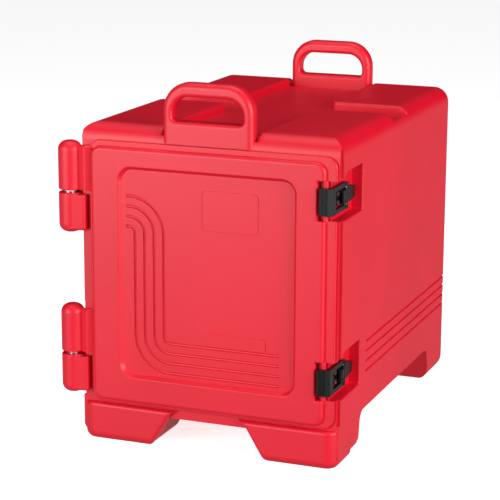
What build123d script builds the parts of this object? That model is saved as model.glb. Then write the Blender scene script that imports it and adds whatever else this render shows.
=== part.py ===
from build123d import *
import os

# Front-loading insulated food carrier.  Millimetres, +Z up.
# Working axes: x = 0 is the middle of the box, y = 0 the door's front face, z = 0 the floor.
# Every piece is moved by `to_origin` at export, so the row's origin is the bottom centre of the
# whole object's bounding box.  The front looks along -Y.

# ---- outer sizes -------------------------------------------------------------------------
box_width = 460.0
box_depth = 654.0
box_height = 547.0
shoulder_radius = 28.0
corner_radius = 28.0
foot_edge_radius = 26.0
body_front_y = 13.3
base_front_y = 3.0
base_top_z = 66.5
base_width = 458.0
base_corner_radius = 22.0
base_edge_radius = 14.0
wall_skin = 3.5

# ---- top: four raised pads between two crossing channels ------------------------------------
channel_half_width = 83.0
channel_depth = 14.0
cross_channel_y = 338.0
cross_channel_half = 40.0
pad_corner_radius = 11.0
pad_edge_radius = 5.0

# ---- underside: four feet between two crossing channels -------------------------------------
arch_top_z = 52.0
arch_half_top = 80.0
arch_half_bottom = 103.0
front_arch_half_top = 62.0
side_arch_top_z = 66.5
side_arch_top_y = (127.0, 527.0)
side_arch_bottom_y = (115.0, 539.0)
arch_radius = 20.0
arch_middle = 68.0
foot_tip_radius = 14.0
foot_front_radius = 6.0

# ---- side grooves ------------------------------------------------------------------------------
side_groove_z = (131.5, 148.9, 166.3, 183.7)
side_groove_start_y = 152.0
groove_radius = 2.6

# ---- cavity with moulded pan rails ------------------------------------------------------------
cavity_half_width = 170.0
cavity_z = (118.0, 482.0)
cavity_rear_y = 594.0
cavity_corner = 16.0
cavity_rear_corner = 12.0
rail_count = 8
rail_pitch = 40.0
rail_first_z = 154.0
rail_height = 13.0
rail_reach = 16.0
rail_front_y = 62.0

# ---- foam in the raised pads and in the feet -----------------------------------------------------
pad_foam_y = ((46.0, 291.0), (385.0, 606.0))
pad_foam_reach = 200.0
pad_foam_z = 542.5
foot_foam_x = (112.0, 214.0)
foot_foam_y = ((22.0, 100.0), (554.0, 636.0))
foot_foam_z = 6.0

# ---- handles ---------------------------------------------------------------------------------------
handle_half_width = 79.0
handle_base_z = 522.5
handle_top_z = 623.0
handle_thickness = 28.0
handle_front_y = 9.0
handle_rear_y = box_depth - 38.0
handle_outer_radius = 46.0
grip_half_width = 62.0
grip_z = (559.0, 600.0)
grip_top_radius = 28.0
grip_bottom_radius = 8.0
handle_outer_round = 10.0
handle_inner_round = 6.5

# ---- hinges: door knuckles stand on body knuckles, on one steel pin each ------------------------------
hinge_x = -248.0
hinge_y = 12.0
knuckle_radius = 20.0
hinge_body_top = {"upper": 428.5, "lower": 148.5}
body_knuckle_height = 68.0
door_knuckle_height = 82.0
knuckle_gap = 5.0
knuckle_relief = 2.0
knuckle_dome = 15.0
web_edge_radius = 4.5
pin_radius = 5.0
pin_reach = 46.0
washer_radius = 10.5
washer_thickness = 1.8
bush_radius = 8.0
bush_flange_radius = 10.5
running_clearance = 0.05
face_clearance = 0.2

# ---- door --------------------------------------------------------------------------------------------
door_x = (-211.0, 223.0)
door_z = (69.0, 520.5)
door_rim_depth = 12.8
door_corner_radius = 20.0
door_lip_y = 8.0
door_lip_edge_radius = 2.5
door_bulk_x = (-206.0, 206.0)
door_bulk_z = (74.0, 511.5)
door_bulk_edge_radius = 6.5
plug_half_width = 166.0
plug_z = (122.0, 478.0)
plug_depth = 38.0
plug_taper = 7.0
plug_corner = 20.0
panel_x = (-156.0, 158.0)
panel_z = (118.5, 480.5)
panel_depth = 7.0
panel_corner = 25.0
panel_wall_slope = 38.0
panel_edge_radius = 2.0
door_groove_count = 4
door_groove_pitch = 17.2
door_groove_inner_radius = 10.0
door_groove_left_x = -142.0
door_groove_top_centre = (-138.3, 368.8)
door_groove_bottom_centre = (-66.7, 194.5)
door_groove_right_x = 125.5
label_x = (-8.0, 91.0)
label_z = (383.0, 450.5)
label_radius = 8.0
label_line = 1.1
plain_bar_x = (0.0, 104.0)
plain_bar_z = (188.0, 210.0)
plain_bar_height = 1.4

# ---- gasket --------------------------------------------------------------------------------------------
gasket_width = 10.0
gasket_thickness = 5.0
gasket_inset = 9.0
gasket_squeeze_gap = 0.3

# ---- latches: a hook frame drawn over a keeper post on the door ------------------------------------------
latch_z = {"upper": 449.0, "lower": 151.0}
pocket_below = 33.0
pocket_above = 44.0
pocket_corner = 4.0
pocket_slant_radius = 22.0
pocket_edge_radius = 2.5
notch_edge_radius = 2.5
pocket_floor_x = 211.0
pocket_rear_y = 118.0
notch_x = 192.0
notch_half_height = 32.0
keeper_x = 204.2
keeper_y = 8.4
keeper_radius = 4.3
lever_pivot = (219.0, 50.0)
draw_pivot = (217.0, 68.0)
latch_pin_radius = 2.0
ear_inner = 6.3
ear_outer = 11.0
ear_radius = 5.0
base_plate_thickness = 2.4
base_plate_y = (33.0, 60.0)
base_plate_half = 13.0
hook_inner = 14.8
hook_outer = 22.0
hook_plate_x = (214.0, 219.2)
hook_bar_x = 197.0
hook_bar_y = (-5.5, 3.6)
hook_window_front_y = 14.0
lever_half = 13.0
lever_tip_half = 9.5
lever_tip_y = 108.0
lever_thickness = 5.0
screw_y = 38.5
screw_offset_z = 7.0
screw_radius = 2.0
screw_head_radius = 3.8
screw_length = 15.5
insert_radius = 3.6
insert_length = 14.0

# ---- where the row's origin sits --------------------------------------------------------------------------
left_most = hinge_x - knuckle_radius
front_most = hinge_y - knuckle_radius
to_origin = Pos(-(left_most + box_width / 2) / 2, -(front_most + box_depth) / 2, 0)


def block(x0, x1, y0, y1, z0, z1):
    """A box between two corners."""
    centre = Pos((x0 + x1) / 2, (y0 + y1) / 2, (z0 + z1) / 2)
    return centre * Box(x1 - x0, y1 - y0, z1 - z0)


def rod(x, y, z0, z1, radius):
    """An upright cylinder."""
    return Pos(x, y, (z0 + z1) / 2) * Cylinder(radius, z1 - z0)


def slab_y(sketch, y0, y1, taper=0.0):
    """A sketch drawn in X and Z, made solid from y0 back to y1."""
    on_front = Plane(origin=(0, y0, 0), x_dir=(1, 0, 0), z_dir=(0, 1, 0))
    flipped = on_front * mirror(sketch, about=Plane.XZ)
    return extrude(flipped, amount=y1 - y0, taper=taper)


def rounded(x0, x1, z0, z1, radius):
    """A rounded rectangle in X and Z, as a flat sketch."""
    return Pos((x0 + x1) / 2, (z0 + z1) / 2) * RectangleRounded(x1 - x0, z1 - z0, radius)


def save(shape, name):
    """Write one node, moved into the row's frame."""
    moved = to_origin * shape
    moved.label = name
    export_step(moved, f"parts/{name}.step")


def in_blocks(solid, regions):
    """One moulding as touching blocks, cut by flat planes so that each is nearly convex."""
    pieces = []
    for region in regions:
        pieces += (solid & block(*region)).solids()
    return Compound(children=pieces)


# ---- body shell -----------------------------------------------------------------------------------------------


def channel_cuts():
    """The two crossing channels on top, as one cutter with rounded pad corners."""
    floor_z = box_height - channel_depth
    lengthwise = block(
        -channel_half_width, channel_half_width, -10, box_depth + 10, floor_z, box_height + 10,
    )
    crosswise = block(
        -box_width, box_width,
        cross_channel_y - cross_channel_half, cross_channel_y + cross_channel_half,
        floor_z, box_height + 10,
    )
    cross = lengthwise + crosswise
    inner = [
        edge
        for edge in cross.edges().filter_by(Axis.Z)
        if abs(abs(edge.center().X) - channel_half_width) < 0.1
        and abs(abs(edge.center().Y - cross_channel_y) - cross_channel_half) < 0.1
    ]
    return fillet(inner, pad_corner_radius)


def pad_rims(shell):
    """The upper edges of the raised pads that look into the channels."""
    rims = []
    for edge in shell.edges():
        middle = edge.center()
        beside = abs(middle.X) < channel_half_width + pad_corner_radius
        across = abs(middle.Y - cross_channel_y) < cross_channel_half + pad_corner_radius
        if edge.bounding_box().min.Z > box_height - 0.05 and (beside or across):
            rims.append(edge)
    return rims


def arch_outline(low0, low1, top0, top1, top_z, top_radius):
    """The outline of a gap between two feet, rounded at its top and round the feet's tips."""
    spread = 40.0
    face = make_face(
        Polyline(
            (low0 - spread, -10), (low1 + spread, -10), (low1 + spread, 0), (low1, 0),
            (top1, top_z), (top0, top_z), (low0, 0), (low0 - spread, 0),
            close=True,
        )
    )
    face = fillet(face.vertices().group_by(Axis.Y)[-1], top_radius)
    tips = [
        v for v in face.vertices()
        if abs(v.Y) < 0.1 and low0 - 1 < v.X < low1 + 1
    ]
    return fillet(tips, foot_tip_radius)


def underside_cuts():
    """The two crossing channels under the box, with flared sides and rounded tops."""
    half = arch_half_bottom
    front = arch_outline(
        -half, half, -front_arch_half_top, front_arch_half_top, base_top_z + 1, 24
    )
    under = arch_outline(-half, half, -arch_half_top, arch_half_top, arch_top_z, arch_radius)
    side = arch_outline(*side_arch_bottom_y, *side_arch_top_y, side_arch_top_z, arch_radius)
    front_cut = slab_y(front, -20, body_front_y)
    front_to_back = slab_y(under, body_front_y - 1, box_depth + 20)
    side_to_side = extrude(Plane.YZ * side, amount=box_width, both=True)
    return front_to_back + side_to_side + front_cut


def foot_front_rims(shell):
    """The front feet's upper edges, and their edges beside the gap between them."""
    rims = []
    for edge in shell.edges():
        place = edge.bounding_box()
        in_front = abs(place.max.Y - base_front_y) < 0.05 and place.size.Y < 0.01
        beside_gap = place.size.X > 1 and place.size.Z > 1
        if in_front and (beside_gap or place.min.Z > base_top_z - 0.05):
            rims.append(edge)
    return rims


def side_grooves():
    """Four parallel grooves along both sides and round the back."""
    x1 = box_width / 2
    y1 = box_depth
    path = Polyline(
        (-x1, side_groove_start_y), (-x1, y1), (x1, y1), (x1, side_groove_start_y)
    )
    bend = [v for v in path.vertices() if abs(v.Y - y1) < 0.1]
    path = fillet(bend, corner_radius)
    tools = []
    for z in side_groove_z:
        line = Pos(0, 0, z) * path
        section = Plane(origin=line @ 0, z_dir=line % 0) * Circle(groove_radius)
        tools.append(sweep(section, path=line))
        tools.append(Pos(line @ 0) * Sphere(groove_radius))
        tools.append(Pos(line @ 1) * Sphere(groove_radius))
    return tools


def handle(front_y):
    """One moulded grab handle with a D-shaped opening."""
    outline = make_face(
        Polyline(
            (-handle_half_width, handle_base_z), (handle_half_width, handle_base_z),
            (handle_half_width, handle_top_z), (-handle_half_width, handle_top_z),
            close=True,
        )
    )
    outline = fillet(outline.vertices().group_by(Axis.Y)[-1], handle_outer_radius)
    opening = make_face(
        Polyline(
            (-grip_half_width, grip_z[0]), (grip_half_width, grip_z[0]),
            (grip_half_width, grip_z[1]), (-grip_half_width, grip_z[1]),
            close=True,
        )
    )
    opening = fillet(opening.vertices().group_by(Axis.Y)[-1], grip_top_radius)
    opening = fillet(opening.vertices().group_by(Axis.Y)[0], grip_bottom_radius)
    plate = slab_y(outline - opening, front_y, front_y + handle_thickness)
    outer_rims = []
    inner_rims = []
    for face in plate.faces().filter_by(Axis.Y):
        for edge in face.outer_wire().edges():
            if edge.bounding_box().max.Z > handle_base_z + 1:
                outer_rims.append(edge)
        for wire in face.inner_wires():
            inner_rims += wire.edges()
    plate = fillet(outer_rims, handle_outer_round)
    near = [e for e in plate.edges() if any(e.distance_to(r.center()) < 0.01 for r in inner_rims)]
    return fillet(near, handle_inner_round)


def knuckle(z0, z1, dome_up):
    """A hinge barrel, domed at its free end."""
    barrel = rod(hinge_x, hinge_y, z0, z1, knuckle_radius)
    dome_z = z1 if dome_up else z0
    flat_z = z0 if dome_up else z1
    dome_edge = barrel.edges().filter_by(GeomType.CIRCLE).sort_by(
        lambda edge: abs(edge.center().Z - dome_z)
    )[0]
    barrel = fillet(dome_edge, knuckle_dome)
    flat_edge = barrel.edges().filter_by(GeomType.CIRCLE).sort_by(
        lambda edge: abs(edge.center().Z - flat_z)
    )[0]
    return fillet(flat_edge, 2.0)


def body_knuckle(top_z):
    """The lower barrel of a hinge with the web that grows out of the box's corner."""
    low_z = top_z - body_knuckle_height
    web = make_face(
        Polyline(
            (hinge_x, hinge_y - knuckle_radius + 0.5),
            (hinge_x + 32, hinge_y - 13),
            (hinge_x + 32, body_front_y + 0.5),
            (hinge_x + 50, body_front_y + 0.5),
            (hinge_x + 50, hinge_y + 36),
            (hinge_x + 19, hinge_y + 36),
            (hinge_x, hinge_y + knuckle_radius - 0.5),
            close=True,
        )
    )
    corner = [v for v in web.vertices() if v.Y < hinge_y - 10 and v.X > hinge_x + 1]
    web = fillet(corner, web_edge_radius)
    web_solid = Pos(0, 0, low_z + 5) * extrude(web, amount=body_knuckle_height - 7)
    web_solid = fillet(web_solid.faces().sort_by(Axis.Z)[0].edges(), web_edge_radius)
    hole = rod(hinge_x, hinge_y, top_z - pin_reach, top_z + 1, pin_radius)
    return knuckle(low_z, top_z, False) + web_solid - hole


def rail_set():
    """The moulded ledges that carry the pans, on both side walls of the cavity."""
    ledges = []
    for index in range(rail_count):
        z = rail_first_z + index * rail_pitch
        for side in (-1, 1):
            wall = side * (cavity_half_width + 1)
            tip = side * (cavity_half_width - rail_reach)
            ledge = block(
                min(wall, tip), max(wall, tip), rail_front_y, cavity_rear_y + 1,
                z - rail_height / 2, z + rail_height / 2,
            )
            nose = ledge.edges().filter_by(Axis.Y).sort_by(lambda e: side * e.center().X)[:2]
            ledges.append(fillet(nose, 4.0))
    return ledges


def cavity():
    """The pan compartment, rounded in its corners."""
    hollow = slab_y(
        rounded(-cavity_half_width, cavity_half_width, *cavity_z, cavity_corner),
        body_front_y - 5, cavity_rear_y,
    )
    back_edges = hollow.faces().sort_by(Axis.Y)[-1].edges()
    return fillet(back_edges, cavity_rear_corner)


def pocket(z):
    """The recess in the box's right side that holds one latch."""
    outline = make_face(
        Polyline(
            (body_front_y - 5, z - pocket_below), (pocket_rear_y, z - pocket_below),
            (pocket_rear_y, z + pocket_above), (body_front_y + 26, z + pocket_above),
            (body_front_y - 5, z + notch_half_height - 2),
            close=True,
        )
    )
    slanted = outline.vertices().group_by(Axis.X)[1]
    outline = fillet(slanted, pocket_slant_radius)
    rear = outline.vertices().group_by(Axis.X)[-1]
    outline = fillet(rear, pocket_corner)
    return Pos(pocket_floor_x, 0, 0) * extrude(Plane.YZ * outline, amount=60)


def pocket_rims(shell):
    """The outer edges of both latch recesses, in the box's right side."""
    rims = []
    for edge in shell.edges():
        place = edge.bounding_box()
        on_side = place.min.X > box_width / 2 - 0.05
        if on_side and place.min.Y > 22 and place.max.Y < pocket_rear_y + 0.05:
            rims.append(edge)
    return rims


def insert_places(z):
    """Centres of the two threaded inserts, one above the other, under one latch."""
    return [(screw_y, z - screw_offset_z), (screw_y, z + screw_offset_z)]


def outer_block():
    """The outside of the body, before channels and hollows."""
    main = block(
        -box_width / 2, box_width / 2, body_front_y, box_depth, 0, box_height
    )
    rear = [e for e in main.edges().filter_by(Axis.Z) if e.center().Y > box_depth / 2]
    main = fillet(rear, corner_radius)
    main = fillet(main.faces().sort_by(Axis.Z)[-1].edges(), shoulder_radius)
    main = fillet(main.faces().sort_by(Axis.Z)[0].edges(), foot_edge_radius)
    step = block(
        box_width / 2 - 4.5, box_width, body_front_y - 1, 21, 75, box_height
    )
    main = main - step - mirror(step, about=Plane.YZ)
    base = block(-base_width / 2, base_width / 2, base_front_y, 80, 0, base_top_z)
    base_corners = [e for e in base.edges().filter_by(Axis.Z) if e.center().Y < 40]
    base = fillet(base_corners, base_corner_radius)
    lower = base.faces().sort_by(Axis.Z)[0].edges().filter_by(
        lambda e: e.bounding_box().min.Y < 79
    )
    base = fillet(lower, base_edge_radius)
    return main + base


def foam_block():
    """The foam between the two skins, before the cavity is taken out."""
    half = box_width / 2 - wall_skin
    foam = block(
        -half, half, body_front_y + 5, box_depth - wall_skin,
        base_top_z + wall_skin + 1, box_height - channel_depth - wall_skin,
    )
    rear = [e for e in foam.edges().filter_by(Axis.Z) if e.center().Y > box_depth / 2]
    foam = fillet(rear, corner_radius - wall_skin)
    foam = fillet(foam.faces().sort_by(Axis.Z)[-1].edges(), 18)
    skin = wall_skin
    hollow = slab_y(
        rounded(
            -cavity_half_width - skin, cavity_half_width + skin,
            cavity_z[0] - skin, cavity_z[1] + skin, cavity_corner + skin,
        ),
        0, cavity_rear_y + skin,
    )
    foam = foam - hollow
    for z in latch_z.values():
        foam -= block(
            pocket_floor_x - insert_length - 3, box_width, 0, pocket_rear_y + skin,
            z - pocket_below - skin, z + pocket_above + skin,
        )
    for side in (-1, 1):
        for y0, y1 in pad_foam_y:
            x0, x1 = sorted((side * (channel_half_width + skin), side * pad_foam_reach))
            foam += block(x0, x1, y0, y1, pad_foam_z - 30, pad_foam_z)
        for y0, y1 in foot_foam_y:
            x0, x1 = sorted((side * foot_foam_x[0], side * foot_foam_x[1]))
            foam += block(x0, x1, y0, y1, foot_foam_z, foot_foam_z + 80)
    step_clear = block(box_width / 2 - 4.5 - skin, box_width, 0, 21 + skin, 0, box_height)
    return foam - step_clear - mirror(step_clear, about=Plane.YZ)


def body_shell(foam):
    """The one-piece double-walled box with its feet, handles, knuckles, rails and pockets."""
    shell = outer_block() - channel_cuts()
    shell = fillet(pad_rims(shell), pad_edge_radius)
    for z in latch_z.values():
        shell -= pocket(z)
    shell = fillet(pocket_rims(shell), pocket_edge_radius)
    shell -= underside_cuts()
    shell = fillet(foot_front_rims(shell), foot_front_radius)
    shell += handle(handle_front_y)
    shell += handle(handle_rear_y)
    for top_z in hinge_body_top.values():
        relief_z = top_z + knuckle_gap + door_knuckle_height + 3
        shell -= rod(hinge_x, hinge_y, top_z, relief_z, knuckle_radius + knuckle_relief)
        shell += body_knuckle(top_z)
    shell -= side_grooves()
    shell -= cavity()
    shell += rail_set()
    for z in latch_z.values():
        for y, insert_z in insert_places(z):
            x0 = pocket_floor_x - insert_length
            hole = Pos((x0 + pocket_floor_x) / 2, y, insert_z) * Rot(0, 90, 0)
            shell -= hole * Cylinder(insert_radius, insert_length)
    return shell - foam


def body_regions():
    """The blocks of the body: feet, floor, walls, roof, pads, handles and hinge barrels."""
    far = 1000.0
    side = box_width / 2
    inner = cavity_half_width
    low, high = cavity_z
    deck = box_height - channel_depth
    front = body_front_y
    middle_y = box_depth / 2
    mouth_y = rail_front_y - 2
    latch_y = pocket_rear_y - pocket_corner
    back_y = cavity_rear_y - cavity_rear_corner
    web_x = -side + 32
    wide = handle_half_width + 1
    regions = [
        (-side, 0, -far, front, 0, base_top_z),
        (0, side, -far, front, 0, base_top_z),
        (-arch_middle, arch_middle, front, middle_y, 0, base_top_z),
        (-arch_middle, arch_middle, middle_y, far, 0, base_top_z),
        (-side, side, front, far, base_top_z, low),
        (-inner, inner, mouth_y, back_y, low, high),
        (-side, -inner, mouth_y, back_y, low, high),
        (inner, side, latch_y, back_y, low, high),
        (inner, pocket_floor_x, mouth_y, latch_y, low, high),
        (-side, side, back_y, far, low, high),
        (-side, pocket_floor_x, front, latch_y, high, deck),
        (-side, side, latch_y, far, high, deck),
        (-far, -side, -far, far, 0, box_height),
        (-side, web_x, -far, front, base_top_z, deck),
        (-wide, wide, -far, front, base_top_z, deck),
    ]
    corners = [low, low + cavity_corner, high - cavity_corner, high]
    for z0, z1 in zip(corners, corners[1:]):
        regions.append((-side, 0, front, mouth_y, z0, z1))
        regions.append((0, pocket_floor_x, front, mouth_y, z0, z1))
    heights = [low, latch_z["lower"] + pocket_above]
    heights += [latch_z["upper"] - pocket_below, latch_z["upper"] + pocket_above, deck]
    for z0, z1 in zip(heights, heights[1:]):
        regions.append((pocket_floor_x, side, front, latch_y, z0, z1))
    for x0, x1 in ((-side, -arch_middle), (arch_middle, side)):
        regions.append((x0, x1, front, middle_y, 0, base_top_z))
        regions.append((x0, x1, middle_y, far, 0, base_top_z))
    for x0, x1 in ((-side, -wide), (wide, side)):
        regions.append((x0, x1, -far, cross_channel_y, deck, far))
        regions.append((x0, x1, cross_channel_y, far, deck, far))
    post_z = (grip_z[0], grip_z[1] - 6)
    for y0, y1 in ((-far, middle_y), (middle_y, far)):
        regions.append((-wide, wide, y0, y1, deck, post_z[0]))
        regions.append((-wide, 0, y0, y1, *post_z))
        regions.append((0, wide, y0, y1, *post_z))
        regions.append((-wide, wide, y0, y1, post_z[1], far))
    return regions


# ---- door ----------------------------------------------------------------------------------------------------------


def groove_path(index):
    """Centre line of one groove in the door's panel, from upper left to lower right."""
    radius = door_groove_inner_radius + index * door_groove_pitch
    inward = door_groove_inner_radius + (door_groove_count - 1 - index) * door_groove_pitch
    top_x, top_z = door_groove_top_centre
    low_x, low_z = door_groove_bottom_centre
    x = top_x + radius
    start = (door_groove_left_x, top_z + radius)
    stub = Line(start, (top_x, top_z + radius))
    bend = RadiusArc((top_x, top_z + radius), (x, top_z), radius)
    drop = Line((x, top_z), (x, low_z))
    turn = RadiusArc((x, low_z), (x + inward, low_z - inward), -inward)
    run = Line((x + inward, low_z - inward), (door_groove_right_x, low_z - inward))
    return Wire([stub, bend, drop, turn, run])


def panel_cut():
    """The recessed middle of the door's face, with sloping walls."""
    return slab_y(
        rounded(*panel_x, *panel_z, panel_corner), -0.01, panel_depth, taper=panel_wall_slope
    )


def panel_rims(slab):
    """The edge of the recessed panel on the door's front face."""
    rims = []
    for edge in slab.edges():
        place = edge.bounding_box()
        inside = place.min.X > panel_x[0] - 1 and place.max.X < panel_x[1] + 1
        if inside and abs(place.min.Y) < 0.01 and abs(place.max.Y) < 0.01:
            rims.append(edge)
    return rims


def door_grooves():
    """Half-round grooves in the floor of the recessed panel."""
    tools = []
    upright = Plane(origin=(0, panel_depth, 0), x_dir=(1, 0, 0), z_dir=(0, -1, 0))
    for index in range(door_groove_count):
        line = upright * groove_path(index)
        section = Plane(origin=line @ 0, z_dir=line % 0) * Circle(groove_radius)
        tools.append(sweep(section, path=line, transition=Transition.RIGHT))
        tools.append(Pos(line @ 0) * Sphere(groove_radius))
        tools.append(Pos(line @ 1) * Sphere(groove_radius))
    return tools


def label_outline():
    """A thin engraved line round the place for a paper label."""
    outer = rounded(*label_x, *label_z, label_radius)
    inner = rounded(
        label_x[0] + label_line, label_x[1] - label_line,
        label_z[0] + label_line, label_z[1] - label_line, label_radius - label_line,
    )
    return slab_y(outer - inner, panel_depth - 0.5, panel_depth + 0.7)


def door_knuckle(top_of_body):
    """The upper barrel of a hinge with the web that joins it to the door's edge."""
    low_z = top_of_body + knuckle_gap
    high_z = low_z + door_knuckle_height
    web = make_face(
        Polyline(
            (hinge_x, hinge_y - 14),
            (hinge_x + 17, hinge_y - 6),
            (door_x[0] - 6, hinge_y - 11),
            (door_x[0] + 6, hinge_y - 6),
            (door_x[0] + 6, door_rim_depth),
            (hinge_x, door_rim_depth),
            close=True,
        )
    )
    wave = [v for v in web.vertices() if hinge_x + 1 < v.X < door_x[0]]
    web = fillet(wave, web_edge_radius)
    web_solid = Pos(0, 0, low_z) * extrude(web, amount=door_knuckle_height - 6)
    web_solid = chamfer(web_solid.faces().sort_by(Axis.Z)[-1].edges(), 2.5)
    bore = rod(hinge_x, hinge_y, low_z - 1, low_z + pin_reach + 2, bush_radius)
    return knuckle(low_z, high_z, True) + web_solid - bore


def plug():
    """The thick middle of the door that fills the mouth of the box, tapered to swing clear."""
    outline = rounded(-plug_half_width, plug_half_width, *plug_z, plug_corner)
    return slab_y(outline, door_rim_depth - 1, door_rim_depth + plug_depth, taper=plug_taper)


def door_slab():
    """The door's outside, before its panel, notches and grooves."""
    lip = slab_y(rounded(*door_x, *door_z, door_corner_radius), door_lip_y, door_rim_depth)
    lip = fillet(lip.faces().sort_by(Axis.Y)[0].edges(), door_lip_edge_radius)
    bulk = slab_y(
        rounded(*door_bulk_x, *door_bulk_z, door_corner_radius - 2), 0, door_rim_depth - 1
    )
    bulk = fillet(bulk.faces().sort_by(Axis.Y)[0].edges(), door_bulk_edge_radius)
    rim = lip + bulk
    back = plug()
    back = fillet(back.faces().sort_by(Axis.Y)[-1].edges(), 6)
    return rim + back


def gasket_ring():
    """The face seal round the plug."""
    x = plug_half_width + gasket_inset
    z0 = plug_z[0] - gasket_inset
    z1 = plug_z[1] + gasket_inset
    radius = plug_corner + gasket_inset
    wide = gasket_width
    ring = rounded(-x - wide, x + wide, z0 - wide, z1 + wide, radius + wide)
    ring -= rounded(-x, x, z0, z1, radius)
    return slab_y(ring, body_front_y - gasket_squeeze_gap - gasket_thickness,
                  body_front_y - gasket_squeeze_gap)


def notch(z):
    """The cut in the door's free edge round one keeper post."""
    return block(
        notch_x, box_width, -5, door_rim_depth + 5, z - notch_half_height, z + notch_half_height
    )


def notch_rims(slab):
    """The front edges of both keeper notches."""
    rims = []
    for edge in slab.edges():
        place = edge.bounding_box()
        if abs(place.min.X - notch_x) < 0.05 and place.max.Y < 0.01:
            rims.append(edge)
    return rims


def keeper(z):
    """The post that a latch hook closes over."""
    reach = notch_half_height + 1
    return rod(keeper_x, keeper_y, z - reach, z + reach, keeper_radius)


def door_foam_block():
    """The foam inside the door."""
    x = plug_half_width - 9
    inner = slab_y(
        rounded(-x, x, plug_z[0] + 9, plug_z[1] - 9, 12),
        panel_depth + wall_skin + groove_radius, door_rim_depth + plug_depth - wall_skin,
    )
    return inner


def door_shell(foam):
    """The double-walled door with its hinge barrels and keeper posts."""
    shell = door_slab() - panel_cut()
    shell = fillet(panel_rims(shell), panel_edge_radius)
    for z in latch_z.values():
        shell -= notch(z)
    shell = fillet(notch_rims(shell), notch_edge_radius)
    shell = shell - door_grooves() - label_outline()
    shell += slab_y(
        rounded(*plain_bar_x, *plain_bar_z, 6), panel_depth - plain_bar_height, panel_depth + 1
    )
    for z in latch_z.values():
        shell += keeper(z)
    for top_z in hinge_body_top.values():
        shell += door_knuckle(top_z)
        low_z = top_z + knuckle_gap
        shell -= rod(hinge_x, hinge_y, low_z - 1, low_z + pin_reach + 2, bush_radius)
    return shell - gasket_ring() - foam


def door_regions():
    """The blocks of the door: hinge barrels, panel, plug, and its free edge between notches."""
    far = 1000.0
    left, right = door_x
    middle = (door_z[0] + door_z[1]) / 2
    regions = [
        (-far, left, -far, far, 0, middle),
        (-far, left, -far, far, middle, far),
        (left, notch_x, -far, door_rim_depth, 0, far),
        (left, notch_x, door_rim_depth, far, 0, far),
    ]
    edges = [0, far]
    for z in latch_z.values():
        edges += [z - notch_half_height, z + notch_half_height]
    edges.sort()
    for z0, z1 in zip(edges, edges[1:]):
        regions.append((notch_x, right, -far, far, z0, z1))
    return regions


# ---- hinge hardware ---------------------------------------------------------------------------------------------------


def hinge_hardware(top_z):
    """Pin, thrust washer and flanged bush of one hinge."""
    pin = rod(hinge_x, hinge_y, top_z - pin_reach, top_z + knuckle_gap + pin_reach, pin_radius)
    pin = chamfer(pin.edges().filter_by(GeomType.CIRCLE), 0.8)
    washer = rod(hinge_x, hinge_y, top_z, top_z + washer_thickness, washer_radius)
    washer -= rod(hinge_x, hinge_y, top_z - 1, top_z + 5, pin_radius + running_clearance)
    low_z = top_z + knuckle_gap
    bush = rod(hinge_x, hinge_y, low_z, low_z + pin_reach + 2, bush_radius)
    bush += rod(
        hinge_x, hinge_y, top_z + washer_thickness + face_clearance, low_z, bush_flange_radius
    )
    bush -= rod(hinge_x, hinge_y, top_z, low_z + pin_reach + 1, pin_radius + running_clearance)
    return pin, washer, bush


# ---- latch pieces, drawn at one latch's height ------------------------------------------------------------------------------


def plan_solid(points, half_height, z, radius=0.0):
    """A plan outline made solid, equally above and below z."""
    face = make_face(Polyline(*points, close=True))
    if radius:
        face = fillet(face.vertices(), radius)
    return Pos(0, 0, z - half_height) * extrude(face, amount=2 * half_height)


def latch_base(z):
    """The bracket on the pocket's floor with two ears for the lever's pivot."""
    plate = block(
        pocket_floor_x, pocket_floor_x + base_plate_thickness, *base_plate_y,
        z - base_plate_half, z + base_plate_half,
    )
    base = chamfer(plate.edges().filter_by(Axis.X), 2)
    px, py = lever_pivot
    for side in (-1, 1):
        z0 = z + side * ear_inner
        z1 = z + side * ear_outer
        low, high = min(z0, z1), max(z0, z1)
        base += rod(px, py, low, high, ear_radius)
        base += block(pocket_floor_x, px, py - ear_radius, py + ear_radius, low, high)
    base -= rod(px, py, z - 20, z + 20, latch_pin_radius)
    for y, screw_z in insert_places(z):
        base -= Pos(pocket_floor_x, y, screw_z) * Rot(0, 90, 0) * Cylinder(screw_radius, 20)
    return base


def latch_lever(z):
    """The over-centre lever with its finger tab."""
    px, py = lever_pivot
    dx, dy = draw_pivot
    clear = 0.3
    root = rod(px, py, z - ear_inner + clear, z + ear_inner - clear, ear_radius - 0.6)
    link = plan_solid(
        [(px - 3.6, py), (dx - 3.6, dy), (dx + 3.6, dy), (px + 3.6, py)], ear_inner - clear, z
    )
    barrel = rod(dx, dy, z - lever_half, z + lever_half, 4.4)
    x0 = dx - lever_thickness / 2
    tab = make_face(
        Polyline(
            (dy, -lever_half), (lever_tip_y - 20, -lever_half), (lever_tip_y, -lever_tip_half),
            (lever_tip_y, lever_tip_half), (lever_tip_y - 20, lever_half), (dy, lever_half),
            close=True,
        )
    )
    tip = [v for v in tab.vertices() if v.X > lever_tip_y - 1]
    tab = fillet(tip, 3)
    tab_solid = Pos(x0, 0, z) * extrude(Plane.YZ * tab, amount=lever_thickness)
    lever = root + link + barrel + tab_solid
    lever -= rod(px, py, z - 30, z + 30, latch_pin_radius + running_clearance)
    return lever - rod(dx, dy, z - 30, z + 30, latch_pin_radius)


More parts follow.
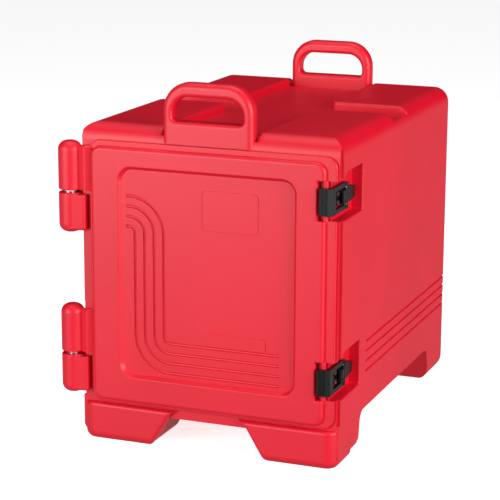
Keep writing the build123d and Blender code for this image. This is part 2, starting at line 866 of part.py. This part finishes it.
def latch_hook(z):
    """The draw frame: a ribbed bar at the front, a plate with a window, and two arms."""
    dx, dy = draw_pivot
    x0, x1 = hook_plate_x
    outline = make_face(
        Polyline(
            (hook_bar_x, hook_bar_y[0] + 1), (hook_bar_x + 3, hook_bar_y[0]),
            (x1 - 3, hook_bar_y[0]), (x1, hook_bar_y[0] + 4), (x1, dy), (x0, dy),
            (x0, hook_bar_y[1] + 3), (x0 - 3, hook_bar_y[1]), (hook_bar_x, hook_bar_y[1]),
            close=True,
        )
    )
    frame = Pos(0, 0, z - hook_outer) * extrude(outline, amount=2 * hook_outer)
    frame += rod(dx, dy, z - hook_outer, z + hook_outer, 4.4)
    frame -= block(
        x0 - 10, x1 + 10, hook_window_front_y, dy + 10, z - hook_inner, z + hook_inner
    )
    for x in (hook_bar_x + 6, hook_bar_x + 12):
        frame -= rod(x, hook_bar_y[0] - 0.8, z - hook_outer - 1, z + hook_outer + 1, 2.4)
    return frame - rod(dx, dy, z - 30, z + 30, latch_pin_radius + running_clearance)


def latch_pins(z):
    """The lever's pivot pin and the hook's draw pin."""
    pivot = rod(*lever_pivot, z - ear_outer, z + ear_outer, latch_pin_radius)
    draw = rod(*draw_pivot, z - hook_outer, z + hook_outer, latch_pin_radius)
    return pivot, draw


def latch_fixings(z):
    """Two pan-head screws and the two threaded inserts that they hold in."""
    screws = []
    inserts = []
    shift_x = pocket_floor_x + base_plate_thickness
    turned = Rot(0, 90, 0)
    for y, screw_z in insert_places(z):
        shank_x = shift_x - screw_length / 2
        shank = Pos(shank_x, y, screw_z) * turned * Cylinder(screw_radius, screw_length)
        head = Pos(shift_x + 1.1, y, screw_z) * turned * Cylinder(screw_head_radius, 2.2)
        head -= Pos(shift_x + 1.8, y, screw_z) * Box(1.4, 5, 1)
        screws.append(shank + head)
        insert_x = pocket_floor_x - insert_length / 2
        place = Pos(insert_x, y, screw_z) * turned
        bore_end = shift_x - screw_length
        insert = place * Cylinder(insert_radius, insert_length)
        hole_x = (bore_end + pocket_floor_x) / 2
        hole = Pos(hole_x, y, screw_z) * turned
        inserts.append(insert - hole * Cylinder(screw_radius, pocket_floor_x - bore_end))
    return Compound(screws), Compound(inserts)


os.makedirs("parts", exist_ok=True)
body_foam = foam_block()
door_foam = door_foam_block()
save(body_foam, "body_foam")
save(in_blocks(body_shell(body_foam), body_regions()), "body_shell")
save(door_foam, "door_foam")
save(in_blocks(door_shell(door_foam), door_regions()), "door_shell")
save(gasket_ring(), "door_gasket")
for place in ("upper", "lower"):
    hinge_pin, thrust_washer, hinge_bush = hinge_hardware(hinge_body_top[place])
    save(hinge_pin, f"hinge_pin_{place}")
    save(thrust_washer, f"thrust_washer_{place}")
    save(hinge_bush, f"hinge_bush_{place}")
    height = latch_z[place]
    pivot_pin, draw_pin = latch_pins(height)
    fixing_screws, threaded_inserts = latch_fixings(height)
    save(latch_base(height), f"latch_base_{place}")
    save(latch_lever(height), f"latch_lever_{place}")
    save(latch_hook(height), f"latch_hook_{place}")
    save(pivot_pin, f"latch_pivot_pin_{place}")
    save(draw_pin, f"latch_draw_pin_{place}")
    save(fixing_screws, f"latch_screws_{place}")
    save(threaded_inserts, f"latch_inserts_{place}")
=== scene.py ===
import math

import bpy
from mathutils import Matrix, Vector

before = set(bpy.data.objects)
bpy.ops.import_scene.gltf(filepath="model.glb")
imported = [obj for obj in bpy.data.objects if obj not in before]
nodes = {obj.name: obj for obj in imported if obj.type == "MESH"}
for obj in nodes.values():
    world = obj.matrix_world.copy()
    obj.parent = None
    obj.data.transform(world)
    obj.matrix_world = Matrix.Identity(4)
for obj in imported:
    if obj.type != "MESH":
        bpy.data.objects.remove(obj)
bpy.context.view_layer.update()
bpy.ops.object.select_all(action="DESELECT")

# ---- Viewpoint -------------------------------------------------------------------------------
# The carrier is seen from its front right, a little above, with a long lens, so that its
# upright edges stay almost parallel. Lengths are in metres unless a name says otherwise.
view_azimuth = math.radians(21.399)
view_elevation = math.radians(13.509)
view_roll = math.radians(0.257)
view_distance = 3.1
aim = Vector((0.04234, -0.18081, 0.32342))
focal_length_mm = 131.5
sensor_width_mm = 36.0

backwards = Vector((
    math.sin(view_azimuth) * math.cos(view_elevation),
    -math.cos(view_azimuth) * math.cos(view_elevation),
    math.sin(view_elevation),
))
lens = bpy.data.cameras.new("studio_camera")
lens.lens = focal_length_mm
lens.sensor_width = sensor_width_mm
camera = bpy.data.objects.new("studio_camera", lens)
bpy.context.scene.collection.objects.link(camera)
facing = backwards.to_track_quat("Z", "Y").to_matrix().to_4x4()
turn = facing @ Matrix.Rotation(view_roll, 4, "Z")
camera.matrix_world = Matrix.Translation(aim + backwards * view_distance) @ turn
bpy.context.scene.camera = camera

# ---- Soft boxes ------------------------------------------------------------------------------
# Two broad lights stand low at the front left and front right, so that upright faces are
# brighter than level ones, and a weak third one hangs overhead.
bpy.context.scene.view_settings.view_transform = "Standard"


def soft_box(name, place, target, size, watts):
    """An oblong area light that looks at a point."""
    data = bpy.data.lights.new(name, "AREA")
    data.shape = "RECTANGLE"
    data.size, data.size_y = size
    data.energy = watts
    lamp = bpy.data.objects.new(name, data)
    bpy.context.scene.collection.objects.link(lamp)
    aimed = (Vector(place) - Vector(target)).to_track_quat("Z", "Y").to_matrix().to_4x4()
    lamp.matrix_world = Matrix.Translation(Vector(place)) @ aimed


front_box_size = (2.0, 1.8)
overhead_box_size = (1.8, 1.8)
soft_box("front_left_box", (-1.5, -3.2, 0.9), (0, 0, 0.3), front_box_size, watts=93)
soft_box("front_right_box", (3.2, -1.2, 1.1), (0, 0, 0.35), front_box_size, watts=124)
soft_box("overhead_box", (0.0, -0.2, 2.6), (0, 0, 0.3), overhead_box_size, watts=20)

# ---- Room ------------------------------------------------------------------------------------
# White air all round. Its strength follows how far a direction points upwards, from 0 for
# straight down to 1 for straight up, and it is darkest just above the horizon.
strength_straight_down = 0.36
strength_straight_up = 0.30
strengths_between = ((0.46, 0.34), (0.53, 0.0), (0.75, 0.04))
white = (1.0, 1.0, 1.0, 1.0)

world = bpy.data.worlds.new("studio_air")
bpy.context.scene.world = world
world.use_nodes = True
air = world.node_tree
direction = air.nodes.new("ShaderNodeTexCoord")
upward = air.nodes.new("ShaderNodeSeparateXYZ")
from_zero = air.nodes.new("ShaderNodeMapRange")
from_zero.inputs["From Min"].default_value = -1.0
fade = air.nodes.new("ShaderNodeFloatCurve")
levels = fade.mapping.curves[0]
levels.points[0].location = (0.0, strength_straight_down)
levels.points[1].location = (1.0, strength_straight_up)
for upwardness, strength in strengths_between:
    levels.points.new(upwardness, strength)
fade.mapping.update()
background = air.nodes["Background"]
background.inputs["Color"].default_value = white
air.links.new(direction.outputs["Generated"], upward.inputs[0])
air.links.new(upward.outputs["Z"], from_zero.inputs["Value"])
air.links.new(from_zero.outputs[0], fade.inputs["Value"])
air.links.new(fade.outputs[0], background.inputs["Strength"])

# ---- Floor -----------------------------------------------------------------------------------
# A wide white sweep that glows a little. It takes the carrier's shadow but throws no light
# and no reflection back onto the red.
floor_width = 40.0
floor_grey = 0.94
floor_glow = 0.80

bpy.ops.mesh.primitive_plane_add(size=floor_width, location=(0, 0, 0))
floor = bpy.context.object
floor.name = "studio_floor"
floor.visible_diffuse = False
floor.visible_glossy = False
floor_paint = bpy.data.materials.new("studio_white")
floor_paint.use_nodes = True
paint = floor_paint.node_tree.nodes["Principled BSDF"]
paint.inputs["Base Color"].default_value = (floor_grey, floor_grey, floor_grey, 1.0)
paint.inputs["Roughness"].default_value = 0.9
paint.inputs["Specular IOR Level"].default_value = 0.1
paint.inputs["Emission Color"].default_value = white
paint.inputs["Emission Strength"].default_value = floor_glow
floor.data.materials.append(floor_paint)
bpy.ops.object.select_all(action="DESELECT")

# ---- Red polyethylene shells -----------------------------------------------------------------
# The box and the door are rotomoulded in one red polyethylene, satin, with a fine pebble
# from the mould, slow swirls in the colour, and faint scuffs where trays and hands rub.


class Socket:
    """A node socket that takes part in sums."""

    def __init__(self, graph, link):
        self.graph = graph
        self.link = link

    def _maths(self, operation, first, second):
        settings = {"operation": operation}
        return self.graph.add("ShaderNodeMath", settings, {0: first, 1: second})

    def __add__(self, other):
        return self._maths("ADD", self, other)

    def __radd__(self, other):
        return self._maths("ADD", other, self)

    def __mul__(self, other):
        return self._maths("MULTIPLY", self, other)

    def __rmul__(self, other):
        return self._maths("MULTIPLY", other, self)

    def ramp(self, low, high):
        """The value spread from 0 at low to 1 at high."""
        settings = {"interpolation_type": "SMOOTHSTEP"}
        inputs = {"Value": self, "From Min": low, "From Max": high}
        return self.graph.add("ShaderNodeMapRange", settings, inputs)


class Graph:
    """The node tree of one material, ending in one Principled shader."""

    def __init__(self, name):
        self.material = bpy.data.materials.new(name)
        self.material.use_nodes = True
        self.tree = self.material.node_tree
        self.shader = self.tree.nodes["Principled BSDF"]

    def feed(self, socket, value):
        """Link a socket, or set it to a plain value."""
        if isinstance(value, Socket):
            self.tree.links.new(value.link, socket)
        else:
            socket.default_value = value

    def add(self, kind, settings, inputs, output=0):
        """Add a node, give it its settings, then the values or links of its sockets."""
        node = self.tree.nodes.new(kind)
        for key, value in settings.items():
            setattr(node, key, value)
        for key, value in inputs.items():
            self.feed(node.inputs[key], value)
        return Socket(self, node.outputs[output])

    def noise(self, scale, detail, roughness, distortion=0.0):
        """Cloudy noise, around one half, that is fixed to the piece."""
        inputs = {
            "Vector": self.add("ShaderNodeTexCoord", {}, {}, "Object"),
            "Scale": scale,
            "Detail": detail,
            "Roughness": roughness,
            "Distortion": distortion,
        }
        return self.add("ShaderNodeTexNoise", {}, inputs, "Fac")

    def blend(self, amount, first, second):
        """A colour between two. A Mix node takes colours at 6 and 7 and gives one at 2."""
        inputs = {0: amount, 6: first, 7: second}
        return self.add("ShaderNodeMix", {"data_type": "RGBA"}, inputs, 2)

    def bump(self, height, distance, strength):
        """Turn a height into a tilted surface."""
        inputs = {"Height": height, "Distance": distance, "Strength": strength}
        return self.add("ShaderNodeBump", {}, inputs, "Normal")

    def wire(self, **values):
        """Set or link the shader's own sockets."""
        for key, value in values.items():
            self.feed(self.shader.inputs[key.replace("_", " ")], value)


def moulded_red(name):
    """Satin rotomoulded polyethylene."""
    deep = (0.67, 0.0015, 0.018, 1.0)
    plain = (0.73, 0.0020, 0.022, 1.0)
    chalk = (0.77, 0.020, 0.040, 1.0)
    graph = Graph(name)
    swirl = graph.noise(scale=3.2, detail=3.0, roughness=0.55, distortion=0.6)
    grain = graph.noise(scale=420.0, detail=2.0, roughness=0.6)
    pebble = graph.noise(scale=95.0, detail=2.0, roughness=0.5)
    rubbing = graph.noise(scale=16.0, detail=6.0, roughness=0.7, distortion=1.2)
    scuff = rubbing.ramp(0.62, 0.78)
    tone = graph.blend(swirl.ramp(0.3, 0.7), deep, plain)
    relief = pebble * 0.7 + grain * 0.3
    graph.wire(
        Base_Color=graph.blend(scuff * 0.25, tone, chalk),
        Roughness=0.42 + grain * 0.08 + scuff * 0.10,
        Normal=graph.bump(relief, distance=0.00035, strength=0.55),
        IOR=1.5,
        Specular_IOR_Level=0.5,
    )
    return graph.material


def finish_node(name, material):
    """Give a CAD piece its material and smooth its curved faces."""
    sharpest_smooth_edge = math.radians(32.0)
    piece = nodes[name]
    piece.data.materials.clear()
    piece.data.materials.append(material)
    bpy.ops.object.select_all(action="DESELECT")
    bpy.context.view_layer.objects.active = piece
    piece.select_set(True)
    bpy.ops.object.shade_smooth_by_angle(angle=sharpest_smooth_edge)
    piece.select_set(False)


finish_node("body_shell", moulded_red("box_red_polyethylene"))
finish_node("door_shell", moulded_red("door_red_polyethylene"))

# ---- Black nylon latches ---------------------------------------------------------------------
# The brackets, levers and draw frames are injection-moulded in glass-filled nylon, black
# with a soft grey sheen and a fine mottle from the glass.


def black_nylon(name):
    """Slightly mottled black nylon."""
    darkest = (0.0015, 0.002, 0.002, 1.0)
    lightest = (0.005, 0.006, 0.006, 1.0)
    graph = Graph(name)
    mottle = graph.noise(scale=260.0, detail=3.0, roughness=0.6)
    graph.wire(
        Base_Color=graph.blend(mottle, darkest, lightest),
        Roughness=0.30 + mottle * 0.14,
        Normal=graph.bump(mottle, distance=0.0001, strength=0.4),
        Specular_IOR_Level=0.30,
    )
    return graph.material


nylon = black_nylon("latch_black_nylon")
for level in ("upper", "lower"):
    for part in ("latch_base", "latch_lever", "latch_hook"):
        finish_node(f"{part}_{level}", nylon)

# ---- Steel pins, washers and screws ----------------------------------------------------------
# The hinge pins, thrust washers, latch pins and latch screws are turned in stainless steel,
# with turning marks too fine to see one by one.


def turned_metal(name, colour, roughness):
    """Metal with fine turning marks, darker in the marks."""
    mark_darkness = 0.8
    dark = tuple(mark_darkness * channel for channel in colour)
    graph = Graph(name)
    marks = graph.noise(scale=900.0, detail=2.0, roughness=0.5)
    graph.wire(
        Base_Color=graph.blend(marks, dark + (1.0,), colour + (1.0,)),
        Metallic=1.0,
        Roughness=roughness + marks * 0.12,
    )
    return graph.material


steel = turned_metal("turned_stainless", colour=(0.70, 0.70, 0.72), roughness=0.22)
steel_parts = ("hinge_pin", "thrust_washer", "latch_pivot_pin", "latch_draw_pin", "latch_screws")
for level in ("upper", "lower"):
    for part in steel_parts:
        finish_node(f"{part}_{level}", steel)

# ---- Brass inserts ---------------------------------------------------------------------------
# The latch screws run into threaded brass inserts set in the box's wall, two a latch and
# turned like the pins.
brass = turned_metal("insert_brass", colour=(0.72, 0.52, 0.22), roughness=0.3)
for level in ("upper", "lower"):
    finish_node(f"latch_inserts_{level}", brass)

# ---- Poured foam -----------------------------------------------------------------------------
# The insulation between the skins of the box and of the door is a cream foam with small
# cells. It is sealed in and out of sight.


def cellular_stuff(name, low, high, scale, roughness, depth):
    """A matt stuff with cells or mottling of one size."""
    graph = Graph(name)
    cells = graph.noise(scale=scale, detail=3.0, roughness=0.6)
    graph.wire(
        Base_Color=graph.blend(cells, low + (1.0,), high + (1.0,)),
        Roughness=roughness + cells * 0.1,
        Normal=graph.bump(cells, distance=depth, strength=0.6),
    )
    return graph.material


foam = cellular_stuff(
    "poured_foam", low=(0.62, 0.52, 0.30), high=(0.80, 0.72, 0.50),
    scale=500.0, roughness=0.85, depth=0.0004,
)
finish_node("body_foam", foam)
finish_node("door_foam", foam)

# ---- Door seal -------------------------------------------------------------------------------
# A black rubber ring lies round the door's plug and faces the rim of the compartment when
# the door is shut.
seal_rubber = cellular_stuff(
    "seal_rubber", low=(0.012, 0.012, 0.012), high=(0.03, 0.03, 0.03),
    scale=300.0, roughness=0.6, depth=0.0001,
)
finish_node("door_gasket", seal_rubber)

# ---- Hinge bushes ----------------------------------------------------------------------------
# The bushes that the hinge pins turn in are off-white acetal, smooth and a little glossy,
# and hidden in the door's knuckles.
bush_acetal = cellular_stuff(
    "bush_acetal", low=(0.70, 0.70, 0.66), high=(0.8, 0.8, 0.77),
    scale=200.0, roughness=0.35, depth=0.0001,
)
for level in ("upper", "lower"):
    finish_node(f"hinge_bush_{level}", bush_acetal)
